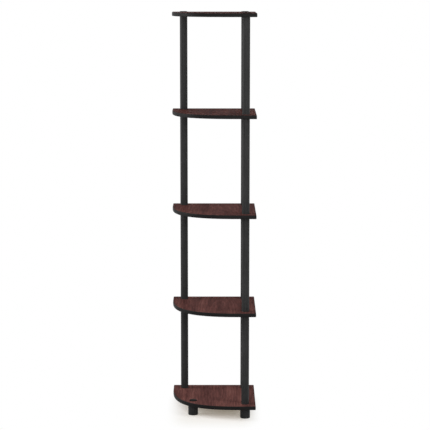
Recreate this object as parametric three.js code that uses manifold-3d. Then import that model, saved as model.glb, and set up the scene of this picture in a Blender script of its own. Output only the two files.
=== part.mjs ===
// Corner shelf unit: five boards with one big rounded corner, on three posts.
// Each post is a stack of hollow tubes that screw together through the boards.
// Millimetres, +Z up. The origin lies on the floor under the middle of the boards.
// The two walls of the room's corner stand along +X and +Y.

import * as THREE from 'three';
import { mergeVertices } from 'three/addons/utils/BufferGeometryUtils.js';
import Module from 'manifold-3d';

const wasm = await Module();
wasm.setup();

// Boards
const boardWidth = 300;
const boardDepth = 300;
const boardThickness = 13;
const roundedCornerReach = 232;
const roundedCornerHandleShare = 0.68;
const panelCornerRadius = 2;

// Edge band around every board
const bandThickness = 2;
const bandCrown = 1;
const bandFlatHeight = 4;

// Stack, from the floor up
const footHeight = 38.5;
const bottomTierHeight = 339;
const upperTierHeight = 351;
const upperTierCount = 3;

// Places of the posts and of the front foot, from the edges of the boards
const postFromWall = 37.5;
const postFromOpenEdge = 41;
const frontFootFromLeft = 75;
const frontFootFromFront = 83.5;

// Post tubes
const tubeDiameter = 27.2;
const tubeWall = 1.6;

// Screw thread that joins one tube to the next through a board
const threadDiameter = 15;
const threadDepth = 1.4;
const threadPitch = 5;
const threadLength = 7.5;
const threadLead = 2;
const threadClearance = 0.3;
const tipChamfer = 1.5;
const tipGap = 1.5;
const boardHoleClearance = 1;

// Plugs pressed into the two ends of each tube
const plugClearance = 0.1;
const studHubLength = 22;
const studRecessDiameter = 13;
const studRecessDepth = 14;
const socketLength = 20;

// Feet
const footDiameter = 35.4;
const footEdgeRadius = 1.5;
const footWall = 2.6;
const footFloor = 3;
const footBossWall = 2.4;

// Caps
const capDiameter = 27.6;
const capHeight = 2.5;
const capEdgeRadius = 1.5;

// Steps of the round shapes, and how far a cut runs past the solid that it cuts
const roundSteps = 16;
const edgeSteps = 2;
const roundedCornerSteps = 16;
const panelCornerSteps = 2;
const cutOverrun = 1;

const quarterTurn = Math.PI / 2;
const fullTurn = 2 * Math.PI;
const halfWidth = boardWidth / 2;
const halfDepth = boardDepth / 2;
const threadCrest = threadDiameter / 2;
const threadRoot = threadCrest - threadDepth;
const socketBore = threadRoot + threadClearance;
const boardHoleRadius = threadCrest + boardHoleClearance;
const screwReach = threadLead + threadLength + tipChamfer;
const tubeRadius = tubeDiameter / 2;
const tubeBore = tubeRadius - tubeWall;
const plugRadius = tubeBore - plugClearance;

const postPlaces = {
  left: new THREE.Vector2(-halfWidth + postFromOpenEdge, halfDepth - postFromWall),
  corner: new THREE.Vector2(halfWidth - postFromWall, halfDepth - postFromWall),
  right: new THREE.Vector2(halfWidth - postFromWall, -halfDepth + postFromOpenEdge),
};
const frontFootPlace = new THREE.Vector2(
  -halfWidth + frontFootFromLeft,
  -halfDepth + frontFootFromFront,
);

const tierHeights = [bottomTierHeight, ...Array(upperTierCount).fill(upperTierHeight)];
const boardLevels = [footHeight];
for (const tierHeight of tierHeights) {
  boardLevels.push(boardLevels.at(-1) + tierHeight);
}

const finishes = {
  cherry: { color: 0x633a34, roughness: 0.42, metalness: 0 },
  bandPlastic: { color: 0x1c1b1b, roughness: 0.5, metalness: 0 },
  tubePlastic: { color: 0x242424, roughness: 0.38, metalness: 0 },
  plugPlastic: { color: 0x2b2b2c, roughness: 0.6, metalness: 0 },
  capPlastic: { color: 0x1f1e1d, roughness: 0.45, metalness: 0 },
  footPlastic: { color: 0x1b1b1b, roughness: 0.55, metalness: 0 },
};

const shelfUnit = new THREE.Group();

function addPiece(name, geometry, finish, place, level) {
  const mesh = new THREE.Mesh(geometry, new THREE.MeshStandardMaterial(finishes[finish]));
  mesh.name = name;
  mesh.position.set(place.x, place.y, level);
  shelfUnit.add(mesh);
}

// One closed surface: vertices that meet are shared, and triangles with no area are left out.
function closedSurface(geometry) {
  geometry.deleteAttribute('normal');
  geometry.deleteAttribute('uv');
  const merged = mergeVertices(geometry);
  const corners = merged.getIndex().array;
  const kept = [];
  for (let start = 0; start < corners.length; start += 3) {
    const [a, b, c] = corners.slice(start, start + 3);
    if (a !== b && b !== c && c !== a) {
      kept.push(a, b, c);
    }
  }
  merged.setIndex(kept);
  merged.computeVertexNormals();
  return merged;
}

function solidOf(geometry) {
  const surface = closedSurface(geometry);
  return new wasm.Manifold(new wasm.Mesh({
    numProp: 3,
    vertProperties: new Float32Array(surface.getAttribute('position').array),
    triVerts: new Uint32Array(surface.getIndex().array),
  }));
}

function geometryOf(solid) {
  const mesh = solid.getMesh();
  const geometry = new THREE.BufferGeometry();
  geometry.setAttribute('position', new THREE.BufferAttribute(mesh.vertProperties, mesh.numProp));
  geometry.setIndex(new THREE.BufferAttribute(mesh.triVerts, 1));
  geometry.computeVertexNormals();
  return geometry;
}

// The outline of a board, counter-clockwise from its left edge, drawn in by an inset.
// Its front left corner is one long curve, and the three others are small arcs.
function boardOutline(inset) {
  const right = halfWidth - inset;
  const back = halfDepth - inset;
  const reach = roundedCornerReach - inset;
  const handle = reach * (1 - roundedCornerHandleShare);
  const radius = panelCornerRadius + bandThickness - inset;
  const roundedCorner = new THREE.CubicBezierCurve(
    new THREE.Vector2(-right, -back + reach),
    new THREE.Vector2(-right, -back + handle),
    new THREE.Vector2(-right + handle, -back),
    new THREE.Vector2(-right + reach, -back),
  );
  const smallCorner = (x, y, start) => new THREE.EllipseCurve(
    x, y, radius, radius, start, start + quarterTurn,
  ).getPoints(panelCornerSteps);
  return [
    ...roundedCorner.getPoints(roundedCornerSteps),
    ...smallCorner(right - radius, -back + radius, -quarterTurn),
    ...smallCorner(right - radius, back - radius, 0),
    ...smallCorner(-right + radius, back - radius, quarterTurn),
  ];
}

// The panel inside its band, with a hole for each screw that passes through it.
function panelGeometry(holePlaces) {
  const shape = new THREE.Shape(boardOutline(bandThickness));
  for (const { x, y } of holePlaces) {
    const hole = new THREE.EllipseCurve(x, y, boardHoleRadius, boardHoleRadius, 0, fullTurn);
    shape.holes.push(new THREE.Path(hole.getPoints(roundSteps).slice(1)));
  }
  return closedSurface(new THREE.ExtrudeGeometry(shape, {
    depth: boardThickness,
    bevelEnabled: false,
  }));
}

// The band is flat along its middle, and its outer face is crowned towards both of its edges.
function bandGeometry() {
  const crownHeight = (boardThickness - bandFlatHeight) / 2;
  const outside = new THREE.ExtrudeGeometry(new THREE.Shape(boardOutline(0)), {
    depth: bandFlatHeight,
    bevelThickness: crownHeight,
    bevelSize: bandCrown,
    bevelOffset: -bandCrown,
    bevelSegments: edgeSteps,
  });
  outside.translate(0, 0, crownHeight);
  const inside = new THREE.ExtrudeGeometry(new THREE.Shape(boardOutline(bandThickness)), {
    depth: boardThickness + 2 * cutOverrun,
    bevelEnabled: false,
  });
  inside.translate(0, 0, -cutOverrun);
  return geometryOf(solidOf(outside).subtract(solidOf(inside)));
}

function ring(radius, height) {
  return { radius, height };
}

// A rounded edge of a turned piece, as rings on a quarter circle that starts at an angle.
function edgeRings(radius, height, edgeRadius, start) {
  return new THREE.EllipseCurve(radius, height, edgeRadius, edgeRadius, start, start + quarterTurn)
    .getPoints(edgeSteps)
    .map((point) => ring(point.x, point.y));
}

// The rings of a screw thread go between its root and its crest, half a pitch apart.
// The first ones lie below the thread, because each ring climbs one pitch in its turn.
// The thread of a bore stands clear of its screw all round and past both ends.
function threadRings(bottom, top, clearance) {
  const halfPitch = threadPitch / 2;
  const rootRadius = threadRoot + clearance;
  const low = bottom - clearance;
  const high = top + clearance;
  const firstCount = -2 - 2 * Math.ceil(clearance / threadPitch);
  const lastCount = Math.ceil((high - bottom) / halfPitch);
  const rings = [];
  for (let count = firstCount; count <= lastCount; count += 1) {
    const radius = count % 2 === 0 ? rootRadius : threadCrest + clearance;
    const climb = (turnShare) => bottom + (count + 2 * turnShare) * halfPitch;
    rings.push({ radius, rootRadius, low, high, climb, height: climb(0) });
  }
  return rings;
}

// Each ring of a thread is bent into one turn of a right-handed helix, held within its two ends.
function bendThread(geometry, rings) {
  const position = geometry.getAttribute('position');
  for (let step = 0; step <= roundSteps; step += 1) {
    const turnShare = step / roundSteps;
    rings.forEach(({ radius, rootRadius, low, high, climb }, order) => {
      if (climb) {
        const height = THREE.MathUtils.clamp(climb(turnShare), low, high);
        const bent = height === low || height === high ? rootRadius : radius;
        const angle = turnShare * fullTurn;
        const index = step * rings.length + order;
        position.setXYZ(index, bent * Math.sin(angle), height, bent * Math.cos(angle));
      }
    });
  }
}

// A piece turned about its own upright axis, from rings that go up its outside.
function turned(rings) {
  const profile = rings.map(({ radius, height }) => new THREE.Vector2(radius, height));
  const geometry = new THREE.LatheGeometry(profile, roundSteps);
  bendThread(geometry, rings);
  geometry.rotateX(quarterTurn);
  return closedSurface(geometry);
}

function tubeGeometry(length) {
  return turned([
    ring(tubeRadius, 0),
    ring(tubeRadius, length),
    ring(tubeBore, length),
    ring(tubeBore, 0),
    ring(tubeRadius, 0),
  ]);
}

// The screw below a stud or a cap: it passes down through a board and into the socket below.
function screwRings() {
  const threadTop = -boardThickness - threadLead;
  const threadBottom = threadTop - threadLength;
  const tip = threadBottom - tipChamfer;
  return [
    ring(0, tip),
    ring(threadRoot - tipChamfer, tip),
    ...threadRings(threadBottom, threadTop, 0),
    ring(threadRoot, 0),
  ];
}

// The threaded bore of a socket or a foot, from its mouth down.
function boreRings(mouth, bottom) {
  const threadTop = mouth - threadLead;
  return [
    ring(socketBore, mouth),
    ...threadRings(threadTop - threadLength, threadTop, threadClearance).reverse(),
    ring(socketBore, bottom),
  ];
}

function studGeometry() {
  const recessRadius = studRecessDiameter / 2;
  const recessFloor = studHubLength - studRecessDepth;
  return turned([
    ...screwRings(),
    ring(plugRadius, 0),
    ring(plugRadius, studHubLength),
    ring(recessRadius, studHubLength),
    ring(recessRadius, recessFloor),
    ring(0, recessFloor),
  ]);
}

function socketGeometry() {
  return turned([
    ring(plugRadius, -socketLength),
    ring(plugRadius, 0),
    ...boreRings(0, -socketLength),
    ring(plugRadius, -socketLength),
  ]);
}

function capGeometry() {
  const edgeHeight = capHeight - capEdgeRadius;
  return turned([
    ...screwRings(),
    ring(capDiameter / 2, 0),
    ...edgeRings(capDiameter / 2 - capEdgeRadius, edgeHeight, capEdgeRadius, 0),
    ring(0, capHeight),
  ]);
}

// A foot is a cup with a threaded boss in its middle, and the board above closes it.
function footGeometry() {
  const outer = footDiameter / 2;
  const inner = outer - footWall;
  const bossRadius = threadCrest + threadClearance + footBossWall;
  const boreFloor = footHeight - screwReach - tipGap;
  return turned([
    ring(0, 0),
    ...edgeRings(outer - footEdgeRadius, footEdgeRadius, footEdgeRadius, -quarterTurn),
    ring(outer, footHeight),
    ring(inner, footHeight),
    ring(inner, footFloor),
    ring(bossRadius, footFloor),
    ring(bossRadius, footHeight),
    ...boreRings(footHeight, boreFloor),
    ring(0, boreFloor),
  ]);
}

// Each board has a hole at every post, and the bottom board has one more over the front foot.
function addBoards() {
  const middle = new THREE.Vector2(0, 0);
  const postHoles = Object.values(postPlaces);
  boardLevels.forEach((level, order) => {
    const holes = order === 0 ? [...postHoles, frontFootPlace] : postHoles;
    addPiece(`shelf_board_${order + 1}`, panelGeometry(holes), 'cherry', middle, level);
    addPiece(`edge_band_${order + 1}`, bandGeometry(), 'bandPlastic', middle, level);
  });
}

// From the floor up: a foot, then a tube with its two plugs in each tier, and a cap on top.
function addPost(side, place) {
  addPiece(`${side}_foot`, footGeometry(), 'footPlastic', place, 0);
  tierHeights.forEach((tierHeight, order) => {
    const bottom = boardLevels[order] + boardThickness;
    const length = tierHeight - boardThickness;
    const tier = order + 1;
    addPiece(`${side}_tube_${tier}`, tubeGeometry(length), 'tubePlastic', place, bottom);
    addPiece(`${side}_stud_${tier}`, studGeometry(), 'plugPlastic', place, bottom);
    addPiece(`${side}_socket_${tier}`, socketGeometry(), 'plugPlastic', place, bottom + length);
  });
  const top = boardLevels.at(-1) + boardThickness;
  addPiece(`${side}_cap`, capGeometry(), 'capPlastic', place, top);
}

// The fourth foot carries no post, so a cap screws straight down into it.
function addFrontFoot() {
  addPiece('front_foot', footGeometry(), 'footPlastic', frontFootPlace, 0);
  const top = footHeight + boardThickness;
  addPiece('front_cap', capGeometry(), 'capPlastic', frontFootPlace, top);
}

addBoards();
for (const [side, place] of Object.entries(postPlaces)) {
  addPost(side, place);
}
addFrontFoot();

export default shelfUnit;
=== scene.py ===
# %% [markdown]
# A corner shelf in five levels
#
# The object is a tall open shelf that stands in the corner of a room. Five boards in dark cherry
# laminate sit on three posts, and each post is a stack of black plastic tubes that screw together
# through the boards. A fourth foot holds up the rounded corner.
#
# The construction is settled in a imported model, the frame. This script gives it its looks: each piece
# is made again as a fine surface, in the place and size that the frame gives, and gets the finish of
# the real thing. Lengths are metres, because that is Blender's unit, and a size that is known in
# millimetres is written as that many times MM.

# %% Load the frame
import math

import bmesh
import bpy
import numpy as np
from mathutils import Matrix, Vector
from mathutils.geometry import tessellate_polygon


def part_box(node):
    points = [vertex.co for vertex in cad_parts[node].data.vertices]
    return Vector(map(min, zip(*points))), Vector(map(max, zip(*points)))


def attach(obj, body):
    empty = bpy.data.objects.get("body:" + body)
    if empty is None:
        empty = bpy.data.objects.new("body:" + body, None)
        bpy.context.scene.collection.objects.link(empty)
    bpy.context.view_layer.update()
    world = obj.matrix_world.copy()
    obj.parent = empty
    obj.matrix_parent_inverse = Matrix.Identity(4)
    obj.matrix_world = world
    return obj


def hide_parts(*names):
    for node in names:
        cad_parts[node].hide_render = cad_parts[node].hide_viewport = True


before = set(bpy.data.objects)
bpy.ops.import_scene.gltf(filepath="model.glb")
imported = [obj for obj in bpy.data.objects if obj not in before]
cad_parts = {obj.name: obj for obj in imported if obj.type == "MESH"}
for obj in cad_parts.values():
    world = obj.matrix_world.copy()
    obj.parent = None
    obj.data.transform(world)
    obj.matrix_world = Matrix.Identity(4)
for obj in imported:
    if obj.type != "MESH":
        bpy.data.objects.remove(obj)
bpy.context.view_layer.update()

MM = 0.001
print("nodes in the frame:", len(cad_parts))

# %% [markdown]
# Sizes that the frame gives
#
# The sizes could be typed again here, but then the looks and the construction could drift apart. A
# node's box says where the piece is and how big it is, so the boards give the levels, and the tubes
# and feet give their places and diameters.

# %% Levels, places and diameters from the frame
BOARDS = [1, 2, 3, 4, 5]
TIERS = [1, 2, 3, 4]
SIDES = ["left", "corner", "right"]


def middle(node):
    """The middle of a node's box, seen from above."""
    low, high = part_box(node)
    return np.array([(low.x + high.x) / 2, (low.y + high.y) / 2])


def low_and_high(node):
    """The heights between which a node lies."""
    low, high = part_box(node)
    return low.z, high.z


def radius_of(node):
    """Half the width of a round node's box."""
    low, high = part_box(node)
    return (high.x - low.x) / 2


half_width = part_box("edge_band_1")[1].x
half_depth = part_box("edge_band_1")[1].y
band_thickness = half_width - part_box("shelf_board_1")[1].x
board_low, board_high = low_and_high("shelf_board_1")
board_thickness = board_high - board_low
post_places = [middle(f"{side}_tube_1") for side in SIDES]
front_foot_place = middle("front_foot")
print("board in mm:", round(2 * half_width / MM, 1), "by", round(2 * half_depth / MM, 1))
print("thickness in mm:", round(board_thickness / MM, 2), "band:", round(band_thickness / MM, 2))

# %% [markdown]
# From a grid to a mesh
#
# Almost every piece is a grid of points: its rows are copies of an outline or rings round an axis, and
# its columns go round and close. Curves with a bevel, or a profile with a Screw modifier, would make
# most of these shapes too. With a grid, a formula puts each point exactly where it belongs, and the
# faces follow from the grid's shape alone, so one function makes them for every piece.
#
# Where a ring shrinks to a point, points fall together, and merging them closes the surface. Faces
# are shaded smooth, and only edges with a clear angle stay crisp.

# %% Helpers that make a mesh from a grid
MERGE_DISTANCE = 1e-7
CRISP_ANGLE = math.radians(30)


def grid_faces(rows, columns, first=0, closed=False):
    """Faces between neighbours in a grid whose columns close, and whose rows may close as well."""
    row = np.arange(rows if closed else rows - 1)[:, None]
    column = np.arange(columns)[None, :]
    next_row = (row + 1) % rows
    next_column = (column + 1) % columns
    corners = [
        row * columns + column,
        row * columns + next_column,
        next_row * columns + next_column,
        next_row * columns + column,
    ]
    return (first + np.stack(corners, axis=-1).reshape(-1, 4)).tolist()


def make_piece(name, points, faces, materials, slots=None):
    """A piece at the origin, with merged points, outward faces and crisp edges."""
    mesh = bpy.data.meshes.new(name)
    mesh.from_pydata(np.reshape(points, (-1, 3)).tolist(), [], faces)
    for material in materials:
        mesh.materials.append(material)
    if slots is not None:
        mesh.polygons.foreach_set("material_index", slots)
    shape = bmesh.new()
    shape.from_mesh(mesh)
    bmesh.ops.remove_doubles(shape, verts=shape.verts, dist=MERGE_DISTANCE)
    bmesh.ops.dissolve_degenerate(shape, edges=shape.edges, dist=MERGE_DISTANCE)
    bmesh.ops.recalc_face_normals(shape, faces=shape.faces)
    shape.to_mesh(mesh)
    shape.free()
    mesh.polygons.foreach_set("use_smooth", [True] * len(mesh.polygons))
    mesh.set_sharp_from_angle(angle=CRISP_ANGLE)
    piece = bpy.data.objects.new(name, mesh)
    bpy.context.scene.collection.objects.link(piece)
    return piece


def hand_over(piece, node):
    """The piece takes the place of a node of the frame, and moves with it."""
    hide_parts(node)
    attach(piece, "root")


# %% [markdown]
# Colours and nodes
#
# Colours are written as they look on a screen, in sRGB hex, and Blender wants them linear. Shader nodes
# could be joined by hand in the Shader Editor, but in code a recipe can be used again with other
# numbers. One small function adds a node: what is given as a value is set, and what is given as a
# socket is linked.
#
# Patterns read Object coordinates, which are metres here, so a pattern's scale is one over its size.

# %% Helpers for materials
def linear(colour):
    """An sRGB hex colour as the linear values that Blender works with."""
    share = np.array([int(colour[place : place + 2], 16) for place in (1, 3, 5)]) / 255
    values = np.where(share <= 0.04045, share / 12.92, ((share + 0.055) / 1.055) ** 2.4)
    return (*values.tolist(), 1.0)


def new_material(name):
    """An empty node material, and the socket that gives the place on the object."""
    material = bpy.data.materials.new(name)
    material.use_nodes = True
    material.node_tree.nodes.clear()
    return material, add_node(material, "ShaderNodeTexCoord").outputs["Object"]


def add_node(owner, kind, inputs=None, stops=(), **settings):
    """A shader node with its settings, its values or links, and the stops of its colour ramp."""
    tree = owner.node_tree
    node = tree.nodes.new(kind)
    for name, value in settings.items():
        setattr(node, name, value)
    for order, (place, colour) in enumerate(stops):
        ramp = node.color_ramp.elements
        stop = ramp[order] if order < len(ramp) else ramp.new(place)
        stop.position = place
        stop.color = linear(colour)
    for socket, value in (inputs or {}).items():
        if isinstance(value, bpy.types.NodeSocket):
            tree.links.new(value, node.inputs[socket])
        else:
            node.inputs[socket].default_value = value
    return node


def per_metre(*sizes_in_mm):
    """How often a pattern with these sizes repeats in a metre, along each axis."""
    return [1 / (size * MM) for size in sizes_in_mm]


# %% [markdown]
# Cherry laminate
#
# The boards are particle board with printed decor paper pressed on both faces under melamine resin.
# The print is cherry: growth rings that run from front to back and close in tall arches, broad bands
# of darker stain, streaks, fine fibres, and short thin pores. All of it is ink under one matt film,
# and only the pores are pressed in a little.
#
# A picture of wood would do for one board, but it would repeat on the others and blur from near. So
# the shader works the print out, in four steps: rings, layers of noise, ink, and film.

# %% Sizes of the print
# Each size is in mm: across the grain, along it, and from board to board. Cherry's real pores are
# about 0.1 mm wide, too fine to show, so they are drawn several times wider.
DRIFT_SIZE = (60, 260, 200)
STAIN_SIZE = (30, 260, 90)
STREAK_SIZE = (3.4, 70, 60)
FIBRE_SIZE = (0.7, 30, 20)
PORE_SIZE = (0.8, 15, 8)
PORE_DEPTH = 0.06
RING_SPACING = 11
print("pores in mm:", PORE_SIZE[0], "wide,", PORE_SIZE[1], "long,", PORE_DEPTH, "deep")

# %% [markdown]
# Growth rings
#
# Growth rings are circles round a log's axis. A board is cut almost along that axis, so the log lies
# along Y and is tipped by a few degrees: that turns the rings into arches. Each board lies at another
# height, so it takes another cut through the same log.
#
# Straight stripes would be simpler, but only rings close in arches. No tree is quite round, so noise
# bends the place at which the rings are read.

# %% Rings
# The place of the log and the bend are in metres. Boards that stand 350 mm apart would meet the log
# in places too far apart, so their cuts are brought within about 26 mm of each other.
LOG_TIP = math.radians(7)
LOG_PLACE = (-0.035, 0.0, -0.024)
BOARD_CUT_SHARE = 0.075
RING_BEND = 0.030


def growth_rings(material, place):
    """A saw wave of the distance from a tipped log's axis, with the place bent by noise."""
    log = add_node(material, "ShaderNodeMapping", {
        "Vector": place,
        "Location": LOG_PLACE,
        "Rotation": (LOG_TIP, 0, 0),
        "Scale": (1, 1, BOARD_CUT_SHARE),
    })
    drift_place = add_node(material, "ShaderNodeMapping", {
        "Vector": place,
        "Scale": per_metre(*DRIFT_SIZE),
    })
    drift = add_node(material, "ShaderNodeTexNoise", {
        "Vector": drift_place.outputs["Vector"],
        "Scale": 1,
        "Detail": 6,
    })
    bent = add_node(material, "ShaderNodeVectorMath", {
        0: drift.outputs["Color"],
        1: (RING_BEND, RING_BEND, RING_BEND),
        2: log.outputs["Vector"],
    }, operation="MULTIPLY_ADD")
    # Blender's ring waves count 20 times the distance as an angle.
    rings = add_node(material, "ShaderNodeTexWave", {
        "Vector": bent.outputs["Vector"],
        "Scale": per_metre(RING_SPACING)[0] * 2 * math.pi / 20,
        "Distortion": 0.0,
    }, wave_type="RINGS", rings_direction="Y", wave_profile="SAW")
    return rings.outputs["Fac"]


# %% [markdown]
# Layers of the print
#
# Stain, streaks, fibres and pores are all the same thing, noise drawn out along the grain. Only size
# and sharpness tell them apart, so one loop adds the four.

# %% Layers
def print_layers(material, place):
    """Four noises by name, each stretched to its own size."""
    layers = {}
    for layer, size, detail, roughness in [
        ("stain", STAIN_SIZE, 3, 0.5),
        ("streaks", STREAK_SIZE, 4, 0.62),
        ("fibres", FIBRE_SIZE, 2, 0.6),
        ("pores", PORE_SIZE, 2, 0.7),
    ]:
        drawn_out = add_node(material, "ShaderNodeMapping", {
            "Vector": place,
            "Scale": per_metre(*size),
        })
        noise = add_node(material, "ShaderNodeTexNoise", {
            "Vector": drawn_out.outputs["Vector"],
            "Scale": 1,
            "Detail": detail,
            "Roughness": roughness,
        })
        layers[layer] = noise.outputs["Fac"]
    return layers


# %% [markdown]
# Ink
#
# A decor print is made with a few inks over each other. Here the layers are summed, each times its
# share, and a colour ramp turns the sum into ink, from dark to light red brown. A ramp for each layer
# would be nearer to the press, but one ramp keeps the colours together, where they are easy to match.
# Rings are strong in some bands and fade out in others, so stain scales them.

# %% Ink
INKS = [(0.58, "#462c29"), (0.76, "#66423f"), (0.90, "#7c514b"), (1.0, "#865b55")]
PORE_INK = "#2c1815"
PORE_INK_SHARE = 0.5


def wood_ink(material, rings, layers, pits):
    """Ramp(sum of layer x share), where rings count as rings x stain, and pore ink over it."""
    rings_in_stain = add_node(material, "ShaderNodeMath", {
        0: rings,
        1: layers["stain"],
    }, operation="MULTIPLY")
    figure = 0.0
    for tone, share in [
        (rings_in_stain.outputs["Value"], 0.22),
        (layers["stain"], 0.50),
        (layers["streaks"], 0.62),
        (layers["fibres"], 0.34),
    ]:
        summed = add_node(material, "ShaderNodeMath", {
            0: tone,
            1: share,
            2: figure,
        }, operation="MULTIPLY_ADD")
        figure = summed.outputs["Value"]
    ink = add_node(material, "ShaderNodeValToRGB", {"Fac": figure}, stops=INKS)
    pore_ink = add_node(material, "ShaderNodeMath", {
        0: pits,
        1: PORE_INK_SHARE,
    }, operation="MULTIPLY")
    # A Mix node for colours takes them at its inputs 6 and 7, and gives its result at output 2.
    print_colour = add_node(material, "ShaderNodeMix", {
        "Factor": pore_ink.outputs["Value"],
        6: ink.outputs["Color"],
        7: linear(PORE_INK),
    }, data_type="RGBA")
    return print_colour.outputs[2]


print("inks from dark to light:", [colour for _, colour in INKS])

# %% [markdown]
# Film
#
# What the eye meets first is the melamine film: a clear resin with an index near 1.5, pressed with a
# matt plate, so it scatters nearly all of its shine. The little that is left changes with the streaks,
# and the pores are pressed in, so they catch the light as short fine lines. The shader has a Coat for
# glossier films. The boards are seen almost along their surface, where any shine mirrors the white
# room and turns dark wood milky, so this film has no coat and a specular level near nothing.

# %% The finished laminate
# Noise stays mostly between these two values, and a pore begins a little above their middle.
NOISE_LOW = 0.3
NOISE_HIGH = 0.7
PORE_EDGE = 0.55
PORE_FLOOR = 0.68
FILM_ROUGHNESS = (0.52, 0.62)
FILM_SPECULAR = 0.003


def cherry_laminate():
    """Printed cherry under a matt film, with pressed pores."""
    material, place = new_material("pressed_cherry_melamine_laminate")
    layers = print_layers(material, place)
    pits = add_node(material, "ShaderNodeMapRange", {
        "Value": layers["pores"],
        "From Min": PORE_EDGE,
        "From Max": PORE_FLOOR,
    })
    ink = wood_ink(material, growth_rings(material, place), layers, pits.outputs["Result"])
    film = add_node(material, "ShaderNodeMapRange", {
        "Value": layers["streaks"],
        "From Min": NOISE_LOW,
        "From Max": NOISE_HIGH,
        "To Min": FILM_ROUGHNESS[0],
        "To Max": FILM_ROUGHNESS[1],
    })
    pressed = add_node(material, "ShaderNodeBump", {
        "Height": pits.outputs["Result"],
        "Strength": 0.6,
        "Distance": PORE_DEPTH * MM,
    }, invert=True)
    shader = add_node(material, "ShaderNodeBsdfPrincipled", {
        "Base Color": ink,
        "Roughness": film.outputs["Result"],
        "Normal": pressed.outputs["Normal"],
        "IOR": 1.5,
        "Specular IOR Level": FILM_SPECULAR,
    })
    add_node(material, "ShaderNodeOutputMaterial", {"Surface": shader.outputs["BSDF"]})
    return material


laminate = cherry_laminate()
print("finish:", laminate.name)

# %% [markdown]
# Particle board
#
# Inside the holes and behind the band lies the core of the board: wood chips of a few millimetres,
# pressed with resin. It is pale, rough and matt. Modelled chips would cost many faces for something
# that is hardly ever seen, so the cells of a Voronoi texture stand for them, each with its own tone.

# %% Particle board core
CHIP_SIZE = 2.4
CHIP_RELIEF = 0.3


def particle_board():
    """Chips as cells with their own tone, rough and a little uneven."""
    material, place = new_material("pressed_particle_board")
    chips = add_node(material, "ShaderNodeTexVoronoi", {
        "Vector": place,
        "Scale": per_metre(CHIP_SIZE)[0],
    })
    tone = add_node(material, "ShaderNodeValToRGB", {
        "Fac": chips.outputs["Color"],
    }, stops=[(0.2, "#8f6f4c"), (0.8, "#bd9d74")])
    uneven = add_node(material, "ShaderNodeBump", {
        "Height": chips.outputs["Distance"],
        "Strength": 0.5,
        "Distance": CHIP_RELIEF * MM,
    })
    shader = add_node(material, "ShaderNodeBsdfPrincipled", {
        "Base Color": tone.outputs["Color"],
        "Roughness": 0.9,
        "Normal": uneven.outputs["Normal"],
    })
    add_node(material, "ShaderNodeOutputMaterial", {"Surface": shader.outputs["BSDF"]})
    return material


core = particle_board()
print("finish:", core.name)

# %% [markdown]
# Black plastics
#
# Everything else is black plastic, but not the same black. The band is a soft extruded strip. The
# tubes are extruded as well, and the die leaves faint lines along them. Caps, feet and plugs are
# moulded in a spark-eroded mould, which gives them an even, fine grain.
#
# Five materials could be built one by one. But all of them are one recipe with other numbers: a fine
# grain as bump and as a breath of tone, under a slow change of gloss and tone from handling. A die
# line is the same grain, drawn out along the tube. The real grain is about 0.2 mm, too fine to show,
# so it is drawn a few times coarser.

# %% The recipe for black plastic
WEAR_SIZE = (45, 45, 60)


def black_plastic(name, colours, roughness, specular, grain_size, grain_depth):
    """Grain as bump and tone, under a slow change of gloss and tone."""
    material, place = new_material(name)
    grain_place = add_node(material, "ShaderNodeMapping", {
        "Vector": place,
        "Scale": per_metre(*grain_size),
    })
    grain = add_node(material, "ShaderNodeTexNoise", {
        "Vector": grain_place.outputs["Vector"],
        "Scale": 1,
        "Detail": 2,
        "Roughness": 0.6,
    })
    wear_place = add_node(material, "ShaderNodeMapping", {
        "Vector": place,
        "Scale": per_metre(*WEAR_SIZE),
    })
    wear = add_node(material, "ShaderNodeTexNoise", {
        "Vector": wear_place.outputs["Vector"],
        "Scale": 1,
        "Detail": 4,
        "Roughness": 0.65,
    })
    # A Mix node for plain values takes them at its inputs 2 and 3.
    mottle = add_node(material, "ShaderNodeMix", {
        "Factor": 0.5,
        2: grain.outputs["Fac"],
        3: wear.outputs["Fac"],
    })
    tone = add_node(material, "ShaderNodeValToRGB", {
        "Fac": mottle.outputs["Result"],
    }, stops=[(0.35, colours[0]), (0.65, colours[1])])
    gloss = add_node(material, "ShaderNodeMapRange", {
        "Value": wear.outputs["Fac"],
        "From Min": NOISE_LOW,
        "From Max": NOISE_HIGH,
        "To Min": roughness[0],
        "To Max": roughness[1],
    })
    relief = add_node(material, "ShaderNodeBump", {
        "Height": grain.outputs["Fac"],
        "Strength": 0.5,
        "Distance": grain_depth * MM,
    })
    shader = add_node(material, "ShaderNodeBsdfPrincipled", {
        "Base Color": tone.outputs["Color"],
        "Roughness": gloss.outputs["Result"],
        "Normal": relief.outputs["Normal"],
        "IOR": 1.5,
        "Specular IOR Level": specular,
    })
    add_node(material, "ShaderNodeOutputMaterial", {"Surface": shader.outputs["BSDF"]})
    return material


# %% The five black finishes
# Extruded PVC strip, rolled on warm: the deepest black, and little gloss.
band_pvc = black_plastic(
    "extruded_black_pvc_band",
    colours=("#0d0c0c", "#171616"),
    roughness=(0.50, 0.62),
    specular=0.07,
    grain_size=(1.4, 1.4, 1.4),
    grain_depth=0.06,
)
# Extruded PVC tube: a lighter black with a soft sheen, and die lines that run its whole length.
tube_pvc = black_plastic(
    "extruded_black_pvc_tube",
    colours=("#1e1e1e", "#2d2d2d"),
    roughness=(0.48, 0.60),
    specular=0.10,
    grain_size=(1.6, 1.6, 180),
    grain_depth=0.03,
)
# Moulded polypropylene: a warm black. The cap is seen almost along its face, as the boards are, and
# stays as dark there, so it has next to no shine.
moulded_cap = black_plastic(
    "moulded_black_polypropylene_cap",
    colours=("#110f0e", "#1b1918"),
    roughness=(0.44, 0.56),
    specular=0.02,
    grain_size=(0.9, 0.9, 0.9),
    grain_depth=0.06,
)
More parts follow.
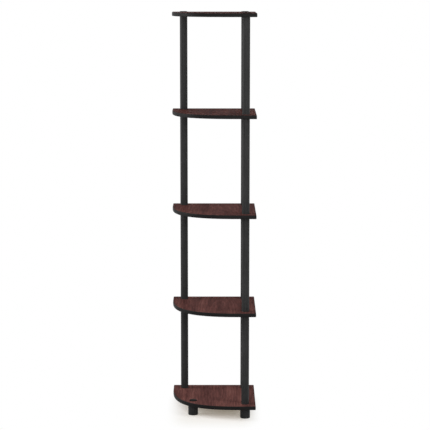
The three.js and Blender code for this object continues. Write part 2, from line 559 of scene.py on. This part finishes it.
# The foot is the same plastic with a deeper grain. It is seen from its side, with a little sheen.
moulded_foot = black_plastic(
    "moulded_black_polypropylene_foot",
    colours=("#1a1a1a", "#282828"),
    roughness=(0.46, 0.60),
    specular=0.10,
    grain_size=(1.0, 1.0, 1.0),
    grain_depth=0.08,
)
# Moulded nylon: a greyer black for the plugs, which carry the screws.
moulded_plug = black_plastic(
    "moulded_black_nylon_plug",
    colours=("#1b1b1c", "#272728"),
    roughness=(0.50, 0.62),
    specular=0.12,
    grain_size=(0.9, 0.9, 0.9),
    grain_depth=0.06,
)
black_finishes = [band_pvc, tube_pvc, moulded_cap, moulded_foot, moulded_plug]
print("finishes:", [finish.name for finish in black_finishes])

# %% [markdown]
# The outline of a board
#
# Three corners are almost square, with a small arc each. The fourth is the rounded one, and it is the
# form that makes this shelf: a long curve that leaves both sides gently and turns tightest in the
# middle, so it isn't a quarter circle. A row of arcs could follow it, but one cubic curve does it with
# two numbers. Its handles run along the sides, and their share of the way to the corner sets how full
# the curve is.

# %% Outline
ROUNDED_REACH = 232 * MM
HANDLE_SHARE = 0.68
PANEL_CORNER_RADIUS = 2 * MM
ROUNDED_STEPS = 128
CORNER_STEPS = 10


def cubic_curve(start, first_handle, last_handle, end, steps):
    """Points on a cubic curve: its four corners, weighted by (1-t) cubed, ..., t cubed."""
    t = np.linspace(0, 1, steps + 1)[:, None]
    weights = [(1 - t) ** 3, 3 * t * (1 - t) ** 2, 3 * t**2 * (1 - t), t**3]
    corners = np.array([start, first_handle, last_handle, end])
    return sum(weight * corner for weight, corner in zip(weights, corners))


def quarter_arc(centre, radius, start, steps):
    """Points on a quarter circle that starts at an angle."""
    angle = np.linspace(start, start + math.pi / 2, steps + 1)
    return np.array(centre) + radius * np.stack([np.cos(angle), np.sin(angle)], axis=-1)


def board_outline(inset):
    """The rounded corner and then three small arcs, counter-clockwise, drawn in by an inset."""
    right = half_width - inset
    back = half_depth - inset
    reach = ROUNDED_REACH - inset
    handle = reach * (1 - HANDLE_SHARE)
    radius = PANEL_CORNER_RADIUS + band_thickness - inset
    return np.concatenate([
        cubic_curve(
            (-right, -back + reach), (-right, -back + handle),
            (-right + handle, -back), (-right + reach, -back), ROUNDED_STEPS,
        ),
        quarter_arc((right - radius, -back + radius), radius, -math.pi / 2, CORNER_STEPS),
        quarter_arc((right - radius, back - radius), radius, 0, CORNER_STEPS),
        quarter_arc((-right + radius, back - radius), radius, math.pi / 2, CORNER_STEPS),
    ])


def at_height(outline, height):
    """A flat outline lifted to a height."""
    return np.column_stack([outline, np.full(len(outline), height)])


def carried_round(profile, level):
    """A profile of insets and heights carried round the outline: a row for each of its points."""
    return np.array([at_height(board_outline(inset), level + rise) for inset, rise in profile])


print("points on the outline:", len(board_outline(0)))

# %% [markdown]
# Boards
#
# Each board is a laminated panel with a drilled hole for every screw that passes through it. Its wall
# is the outline carried from the underside to the top, with a hair-thin bevel where the trimmer takes
# the film down to the band. Each hole is a ring carried through the board.
#
# A Boolean modifier would drill the holes as well, but it leaves long thin faces that catch the light.
# The two flat faces are what lies between the outline and the holes, so one polygon with holes is cut
# into triangles and serves for both.

# %% Panels
FILM_BEVEL = 0.25 * MM
HOLE_RADIUS = 8.5 * MM
HOLE_STEPS = 64
PANEL_MATERIALS = [laminate, core]
LAMINATE = 0
CORE = 1


def ring_points(centre, radius, steps):
    """Points on a circle round a centre, counter-clockwise."""
    angle = np.arange(steps) * 2 * math.pi / steps
    return np.array(centre) + radius * np.stack([np.cos(angle), np.sin(angle)], axis=-1)


def panel(name, level, hole_places):
    """The wall and the holes as grids, and both faces as one polygon with holes."""
    wall = carried_round([
        (band_thickness + FILM_BEVEL, 0),
        (band_thickness, FILM_BEVEL),
        (band_thickness, board_thickness - FILM_BEVEL),
        (band_thickness + FILM_BEVEL, board_thickness),
    ], level)
    points = [wall.reshape(-1, 3)]
    faces = grid_faces(len(wall), wall.shape[1])
    slots = np.repeat([LAMINATE, CORE, LAMINATE], wall.shape[1]).tolist()
    count = len(points[0])
    holes = [ring_points(place, HOLE_RADIUS, HOLE_STEPS) for place in hole_places]
    for hole in holes:
        points.append(at_height(hole, level))
        points.append(at_height(hole, level + board_thickness))
        faces.extend(grid_faces(2, HOLE_STEPS, first=count))
        slots.extend([CORE] * HOLE_STEPS)
        count += 2 * HOLE_STEPS
    rims = [board_outline(band_thickness + FILM_BEVEL), *holes]
    flat = [[Vector((x, y, 0)) for x, y in rim] for rim in rims]
    triangles = np.array(tessellate_polygon(flat))
    for height in (level, level + board_thickness):
        points.append(at_height(np.concatenate(rims), height))
        faces.extend((count + triangles).tolist())
        slots.extend([LAMINATE] * len(triangles))
        count += len(points[-1])
    return make_piece(name, np.concatenate(points), faces, PANEL_MATERIALS, slots)


levels = [low_and_high(f"shelf_board_{board}")[0] for board in BOARDS]
for board, level in zip(BOARDS, levels):
    hole_places = post_places + ([front_foot_place] if board == 1 else [])
    piece = panel(f"laminated_board_{board}", level, hole_places)
    hand_over(piece, f"shelf_board_{board}")
    print(piece.name, "faces:", len(piece.data.polygons), "underside in mm:", round(level / MM))

# %% [markdown]
# Edge band
#
# The black band is pressed round the board after it is cut. Its outer face is flat along the middle
# and falls away to both of its edges, which is what draws a thin light line along every board. Its
# profile is a closed loop: two quarter ellipses joined by flats.
#
# The profile could be the bevel of a curve, but at the small corners such a bevel pinches. Here the
# outline itself is drawn in by each inset of the profile, so the band fits the board at every point.

# %% Bands
BAND_CROWN = 1 * MM
BAND_FLAT = 4 * MM
CROWN_STEPS = 10


def band_profile():
    """Inset = crown x (1 - cos angle), height = middle + half flat + crown height x sin angle."""
    angle = np.linspace(0, math.pi / 2, CROWN_STEPS + 1)
    crown_height = (board_thickness - BAND_FLAT) / 2
    inset = BAND_CROWN * (1 - np.cos(angle))
    rise = BAND_FLAT / 2 + crown_height * np.sin(angle)
    centre = board_thickness / 2
    upper = np.column_stack([inset, centre + rise])
    lower = np.column_stack([inset, centre - rise])[::-1]
    inner = [(band_thickness, board_thickness), (band_thickness, 0)]
    return np.concatenate([lower, upper, inner])


for board, level in zip(BOARDS, levels):
    band = carried_round(band_profile(), level)
    faces = grid_faces(len(band), band.shape[1], closed=True)
    piece = make_piece(f"black_band_{board}", band, faces, [band_pvc])
    hand_over(piece, f"edge_band_{board}")
    print(piece.name, "faces:", len(faces))

# %% [markdown]
# Turned pieces
#
# Tubes, caps, feet and plugs are all round, so each is a list of rings: radius and height, from one
# end of its skin to the other. A round edge is a short arc in that list. Joined cylinders would leave
# hidden faces inside, and this way each piece is one closed skin.
#
# A screw thread isn't round, but almost: its radius is a wave of the height, and the wave climbs one
# pitch in a turn. That is still one radius for each height and angle, so a thread is a grid like the
# rest. Its rows go between the rings, and it fades out towards both ends, as a moulded thread does.

# %% Rings, arcs and threads
ROUND_STEPS = 96
ARC_STEPS = 8
THREAD_STEPS = 48
THREAD_CREST = 7.5 * MM
THREAD_ROOT = 6.1 * MM
THREAD_PITCH = 5 * MM
THREAD_LENGTH = 7.5 * MM
THREAD_LEAD = 2 * MM
THREAD_CLEARANCE = 0.3 * MM
TIP_CHAMFER = 1.5 * MM
# Above 1, this gives the thread a narrow flat on its crest.
CREST_GAIN = 1.3
turn_share = np.arange(ROUND_STEPS)[None, :] / ROUND_STEPS


def rings(*radius_and_height):
    """Rings as rows of a grid, with the same radius and height all the way round."""
    ring = np.array(radius_and_height)[:, :, None]
    return ring * np.ones(ROUND_STEPS)


def arc(radius, height, edge_radius, start):
    """A quarter circle in a turned profile, as pairs of radius and height."""
    return quarter_arc((radius, height), edge_radius, start, ARC_STEPS).tolist()


def smooth(share):
    """Goes from 0 to 1 with a gentle start and end."""
    held = np.clip(share, 0, 1)
    return held * held * (3 - 2 * held)


def thread(top, clearance=0.0):
    """Radius = root + depth x wave(height / pitch - turn), faded out at both ends, from the top down."""
    bottom = top - THREAD_LENGTH
    height = np.linspace(top + clearance, bottom - clearance, THREAD_STEPS)[:, None]
    wave = 0.5 - 0.5 * np.cos(2 * math.pi * ((height - bottom) / THREAD_PITCH - turn_share))
    fade_length = THREAD_PITCH / 2
    fade = smooth((top + clearance - height) / fade_length)
    fade = fade * smooth((height - bottom + clearance) / fade_length)
    radius = THREAD_ROOT + clearance + (THREAD_CREST - THREAD_ROOT) * smooth(CREST_GAIN * wave) * fade
    return np.stack([radius, height + 0 * turn_share], axis=1)


def turned(name, place, base, material, *parts):
    """Rings and threads, one after the other, turned round the upright axis at a place."""
    grid = np.concatenate(parts)
    angle = 2 * math.pi * turn_share
    points = np.stack([
        place[0] + grid[:, 0] * np.cos(angle),
        place[1] + grid[:, 0] * np.sin(angle),
        base + grid[:, 1],
    ], axis=-1)
    return make_piece(name, points, grid_faces(len(grid), ROUND_STEPS), [material])


# %% [markdown]
# Post tubes
#
# Each post is four lengths of tube, cut square and deburred, so both ends have a fine chamfer inside
# and out. A cylinder with a Solidify modifier would give the wall but not the chamfers, so the rings
# take the tube's whole skin: up its outside, over the rim, down its inside and back.

# %% Tubes
TUBE_WALL = 1.6 * MM
DEBURR = 0.3 * MM
tube_radius = radius_of("left_tube_1")
tube_bore = tube_radius - TUBE_WALL


def tube(name, place, bottom, top):
    """Outside, rim, inside and lower rim, closed on itself."""
    length = top - bottom
    return turned(name, place, bottom, tube_pvc, rings(
        (tube_radius - DEBURR, 0),
        (tube_radius, DEBURR),
        (tube_radius, length - DEBURR),
        (tube_radius - DEBURR, length),
        (tube_bore + DEBURR, length),
        (tube_bore, length - DEBURR),
        (tube_bore, DEBURR),
        (tube_bore + DEBURR, 0),
        (tube_radius - DEBURR, 0),
    ))


for side in SIDES:
    for tier in TIERS:
        node = f"{side}_tube_{tier}"
        piece = tube(f"{side}_post_tube_{tier}", middle(node), *low_and_high(node))
        hand_over(piece, node)
print("tube diameter in mm:", round(2 * tube_radius / MM, 2))

# %% [markdown]
# Screws and sockets inside the posts
#
# A plug is pressed into each end of a tube. The lower plug ends in a screw that passes down through
# the board, and the upper plug has the threaded bore that takes the screw of the tube above. They
# can't be seen on the standing shelf, but they are what holds it together, so they are made as
# carefully as the rest. Screw and bore are helpers of their own, because caps and feet need them too.

# %% Plugs
PLUG_CLEARANCE = 0.1 * MM
RECESS_RADIUS = 6.5 * MM
RECESS_FLOOR = 8 * MM
PLUG_CHAMFER = 0.6 * MM
plug_radius = tube_bore - PLUG_CLEARANCE
socket_bore = THREAD_ROOT + THREAD_CLEARANCE
plug_length = low_and_high("left_stud_1")[1] - low_and_high("left_tube_1")[0]
socket_length = low_and_high("left_socket_1")[1] - low_and_high("left_socket_1")[0]


def screw():
    """From the middle of its tip up to the piece that it belongs to, whose underside is at 0."""
    thread_top = -board_thickness - THREAD_LEAD
    tip = thread_top - THREAD_LENGTH - TIP_CHAMFER
    return [
        rings((0, tip), (THREAD_ROOT - TIP_CHAMFER, tip)),
        thread(thread_top)[::-1],
        rings((THREAD_ROOT, 0)),
    ]


def bore(mouth, floor):
    """The threaded hole that takes a screw, from its mouth down to its floor."""
    return [
        rings((socket_bore, mouth)),
        thread(mouth - THREAD_LEAD, THREAD_CLEARANCE),
        rings((socket_bore, floor)),
    ]


def stud(name, place, base):
    """A screw below a hub, with a recess in the hub's top that keeps its wall even."""
    return turned(name, place, base, moulded_plug, *screw(), rings(
        (plug_radius, 0),
        (plug_radius, plug_length - PLUG_CHAMFER),
        (plug_radius - PLUG_CHAMFER, plug_length),
        (RECESS_RADIUS, plug_length),
        (RECESS_RADIUS, RECESS_FLOOR),
        (0, RECESS_FLOOR),
    ))


def socket(name, place, top):
    """A plug with a threaded bore right through it."""
    return turned(name, place, top, moulded_plug, rings(
        (plug_radius - PLUG_CHAMFER, -socket_length),
        (plug_radius, -socket_length + PLUG_CHAMFER),
        (plug_radius, 0),
    ), *bore(0, -socket_length), rings((plug_radius - PLUG_CHAMFER, -socket_length)))


for side in SIDES:
    for tier in TIERS:
        bottom, top = low_and_high(f"{side}_tube_{tier}")
        place = middle(f"{side}_tube_{tier}")
        piece = stud(f"{side}_screw_plug_{tier}", place, bottom)
        hand_over(piece, f"{side}_stud_{tier}")
        piece = socket(f"{side}_socket_plug_{tier}", place, top)
        hand_over(piece, f"{side}_socket_{tier}")
print("faces of a socket plug:", len(piece.data.polygons))

# %% [markdown]
# Caps
#
# The top of each post and the front foot end in a low disc with a round edge. It is a little domed,
# and the middle keeps a shallow dimple, where the plastic came into the mould. A plain disc would
# look flat and dead from above: the dome carries the light across it.

# %% Caps
CAP_DOME = 0.4 * MM
CAP_EDGE = 1.5 * MM
GATE_RADIUS = 1.4 * MM
GATE_DEPTH = 0.25 * MM
GATE_FLOOR_SHARE = 0.8
DOME_STEPS = 12
cap_radius = radius_of("left_cap")
cap_height = low_and_high("left_cap")[1] - (levels[-1] + board_thickness)


def dome(edge_radius, edge_height, rise):
    """From a rim inwards: height = edge + rise x (1 - (radius / edge radius) squared)."""
    radius = np.linspace(edge_radius, GATE_RADIUS, DOME_STEPS)
    height = edge_height + rise * (1 - (radius / edge_radius) ** 2)
    return np.column_stack([radius, height]).tolist()


def cap(name, place, base):
    """A screw below a low domed disc."""
    rim = cap_radius - CAP_EDGE
    rim_height = cap_height - CAP_DOME
    return turned(name, place, base, moulded_cap, *screw(), rings(
        (cap_radius, 0),
        *arc(rim, rim_height - CAP_EDGE, CAP_EDGE, 0),
        *dome(rim, rim_height, CAP_DOME),
        (GATE_RADIUS * GATE_FLOOR_SHARE, cap_height - GATE_DEPTH),
        (0, cap_height - GATE_DEPTH),
    ))


top_level = levels[-1] + board_thickness
for side in SIDES:
    piece = cap(f"{side}_post_cap", middle(f"{side}_cap"), top_level)
    hand_over(piece, f"{side}_cap")
hand_over(cap("front_foot_cap", front_foot_place, board_high), "front_cap")
print("cap in mm:", round(2 * cap_radius / MM, 1), "by", round(cap_height / MM, 1))

# %% [markdown]
# Feet
#
# A foot is a moulded cup with a round lower edge and a threaded boss in its middle. The board above
# closes it. Its underside is a shallow dish, so that the foot stands on its rim and doesn't rock. A
# solid block would look the same from outside, but moulders avoid thick plastic, because it sinks in.

# %% Feet
FOOT_EDGE = 1.5 * MM
FOOT_WALL = 2.6 * MM
FOOT_FLOOR = 3 * MM
BOSS_WALL = 2.4 * MM
DISH_DEPTH = 0.6 * MM
DISH_SLOPE = 1 * MM
TIP_GAP = 1.5 * MM
foot_radius = radius_of("left_foot")
foot_height = low_and_high("left_foot")[1]
boss_radius = THREAD_CREST + THREAD_CLEARANCE + BOSS_WALL
bore_floor = foot_height - THREAD_LEAD - THREAD_LENGTH - TIP_CHAMFER - TIP_GAP


def foot(name, place):
    """The dish, the outside, the rim, the space round the boss, and the boss with its bore."""
    stand = foot_radius - FOOT_EDGE
    inner = foot_radius - FOOT_WALL
    return turned(
        name, place, 0, moulded_foot,
        rings(
            (0, DISH_DEPTH),
            (stand - 2 * DISH_SLOPE, DISH_DEPTH),
            (stand - DISH_SLOPE, 0),
            *arc(stand, FOOT_EDGE, FOOT_EDGE, -math.pi / 2),
            (foot_radius, foot_height - DEBURR),
            (foot_radius - DEBURR, foot_height),
            (inner, foot_height),
            (inner, FOOT_FLOOR),
            (boss_radius, FOOT_FLOOR),
            (boss_radius, foot_height),
        ),
        *bore(foot_height, bore_floor),
        rings((0, bore_floor)),
    )


for side in SIDES:
    piece = foot(f"{side}_post_foot", middle(f"{side}_foot"))
    hand_over(piece, f"{side}_foot")
hand_over(foot("front_corner_foot", front_foot_place), "front_foot")
print("foot in mm:", round(2 * foot_radius / MM, 1), "by", round(foot_height / MM, 1))

# %% [markdown]
# Floor and background
#
# The shelf stands on a pale studio floor that runs out into white. A bent backdrop and more light
# would whiten it as well, but that light would fall on the shelf too. So white comes from what is
# looked at: the world is exactly white for camera rays, and for glossy and transmission rays too, so
# that a shine shows the same room. The floor is a matt surface with a weak, warm painted glow under
# the shelf: the lamps cast the soft shadow between the feet, and the glow sets how dark and how warm
# it looks. Further out it blends into plain white, so it can't be told from the world behind it.
#
# The white stays at 1 and not above. A brighter white would eat into the dark edges of the shelf,
# because a pixel on an edge is a mix of both.

# %% Rays that see the white
WHITE = "#ffffff"
SEES_WHITE = ["Is Camera Ray", "Is Glossy Ray", "Is Transmission Ray"]


def looked_at(owner):
    """1 for the rays that see the white, and 0 for those that light a matt surface."""
    rays = add_node(owner, "ShaderNodeLightPath").outputs
    seen = 0.0
    for kind in SEES_WHITE:
        either = add_node(owner, "ShaderNodeMath", {0: seen, 1: rays[kind]}, operation="MAXIMUM")
        seen = either.outputs["Value"]
    return seen


print("rays that see the white:", SEES_WHITE)

# %% Floor
# All in metres. The painted shade patch reaches half its size from the middle, and white is full so much
# further.
FLOOR_HALF = 6.0
FLOOR_COLOUR = "#eef0f2"
# Painted light: this warm glow gives the shadow under the shelf its tint and most of its brightness.
SHADOW_GLOW = "#8a8375"
SHADE_HALF = (0.088, 0.12, 0.0)
WHITE_IS_FULL = (0.090, 0.16, 1.0)


def pale_floor():
    """Matt white with a glow where it is looked at, blended into plain white outside the footprint.

    The blend goes with the length of (|place| - half size) / reach, with less than 0 as 0.
    """
    material, place = new_material("matt_white_studio_floor")
    seen = looked_at(material)
    outside = place
    for operation, value in [
        ("ABSOLUTE", None),
        ("SUBTRACT", SHADE_HALF),
        ("MAXIMUM", (0, 0, 0)),
        ("DIVIDE", WHITE_IS_FULL),
    ]:
        inputs = {0: outside} if value is None else {0: outside, 1: value}
        outside = add_node(material, "ShaderNodeVectorMath", inputs, operation=operation).outputs["Vector"]
    distance = add_node(material, "ShaderNodeVectorMath", {0: outside}, operation="LENGTH")
    outwards = add_node(material, "ShaderNodeMapRange", {
        "Value": distance.outputs["Value"],
    }, interpolation_type="SMOOTHSTEP")
    white_share = add_node(material, "ShaderNodeMath", {
        0: outwards.outputs["Result"],
        1: seen,
    }, operation="MULTIPLY")
    matt = add_node(material, "ShaderNodeBsdfPrincipled", {
        "Base Color": linear(FLOOR_COLOUR),
        "Roughness": 0.9,
        "Specular IOR Level": 0.1,
        "Emission Color": linear(SHADOW_GLOW),
        "Emission Strength": seen,
    })
    white = add_node(material, "ShaderNodeEmission", {"Color": linear(WHITE), "Strength": 1})
    blend = add_node(material, "ShaderNodeMixShader", {
        0: white_share.outputs["Value"],
        1: matt.outputs["BSDF"],
        2: white.outputs["Emission"],
    })
    add_node(material, "ShaderNodeOutputMaterial", {"Surface": blend.outputs["Shader"]})
    return material


floor_side = np.array([-FLOOR_HALF, FLOOR_HALF])
floor_x, floor_y = np.meshgrid(floor_side, floor_side)
floor_points = np.stack([floor_x, floor_y, 0 * floor_x], axis=-1)
floor = make_piece("studio_floor", floor_points, [[0, 1, 3, 2]], [pale_floor()])
print("floor in metres:", 2 * FLOOR_HALF)

# %% World
WORLD_LEVEL = 0.055

world = bpy.data.worlds.new("white_studio")
bpy.context.scene.world = world
world.use_nodes = True
world.node_tree.nodes.clear()
seen = looked_at(world)
strength = add_node(world, "ShaderNodeMapRange", {"Value": seen, "To Min": WORLD_LEVEL, "To Max": 1})
sky = add_node(world, "ShaderNodeBackground", {
    "Color": linear(WHITE),
    "Strength": strength.outputs["Result"],
})
add_node(world, "ShaderNodeOutputWorld", {"Surface": sky.outputs["Background"]})
print("light from all round:", WORLD_LEVEL)

# %% [markdown]
# Light
#
# In the photograph the left edge of a post is its lightest part, the rest gets darker slowly towards
# the right, and the lower boards are brighter than the upper ones. So the strongest lamp stands at
# the left side, a second one in front, and a third in front on the right, all of them big and soft
# and about as high as the shelf. A weak one overhead is there for the top board, which the others
# only graze. One big lamp in front would be simpler, but it would leave the edges of the posts dark.
#
# An area lamp's light falls off with the square of its distance, so its power has to grow with it.
# The function works the power out from the level that a surface at the lamp's aim is to get.

# %% Lamps
def soft_lamp(name, place, aim, size, level):
    """A square lamp that lights a white surface at its aim to a level.

    Its power in watts is level x pi squared x distance squared.
    """
    data = bpy.data.lights.new(name, "AREA")
    data.shape = "SQUARE"
    data.size = size
    way = Vector(aim) - Vector(place)
    data.energy = level * math.pi**2 * way.length_squared
    lamp = bpy.data.objects.new(name, data)
    lamp.location = place
    lamp.rotation_euler = way.to_track_quat("-Z", "Y").to_euler()
    bpy.context.scene.collection.objects.link(lamp)
    return lamp


LOWER_MIDDLE = (0, 0, 0.6)
TOP_MIDDLE = (0, 0, 1.4)
lamps = [
    soft_lamp("left_softbox", (-2.9, 0, 1.4), aim=LOWER_MIDDLE, size=1.3, level=0.77),
    soft_lamp("front_softbox", (0, -2.9, 1.4), aim=LOWER_MIDDLE, size=1.3, level=0.58),
    soft_lamp("right_softbox", (2.38, -1.66, 1.8), aim=LOWER_MIDDLE, size=1.3, level=0.43),
    soft_lamp("overhead_softbox", (0.25, 0.35, 3.0), aim=TOP_MIDDLE, size=0.6, level=0.06),
]
print("lamps in watts:", [round(lamp.data.energy) for lamp in lamps])

# %% [markdown]
# Camera
#
# The camera stands five and a half metres in front of the shelf, a little higher than its top, and
# looks down by nearly nine degrees. That far away, with a long lens, the uprights stay almost
# parallel, as in the photograph. A camera could be moved by hand until it looks right. These numbers
# come from a fit to the edges of boards and posts, which is surer.

# %% Camera
CAMERA_PLACE = (0.0052, -5.469, 1.557)
CAMERA_DOWN = math.radians(8.696)
CAMERA_TURN = math.radians(0.010)
LENS = 128.7
CLIP_END = 100

camera_data = bpy.data.cameras.new("photo_camera")
camera_data.lens = LENS
camera_data.clip_end = CLIP_END
camera = bpy.data.objects.new("photo_camera", camera_data)
camera.location = CAMERA_PLACE
camera.rotation_euler = (math.pi / 2 - CAMERA_DOWN, 0, CAMERA_TURN)
bpy.context.scene.collection.objects.link(camera)
bpy.context.scene.camera = camera
bpy.context.scene.view_settings.view_transform = "Standard"
print("lens in mm:", LENS)
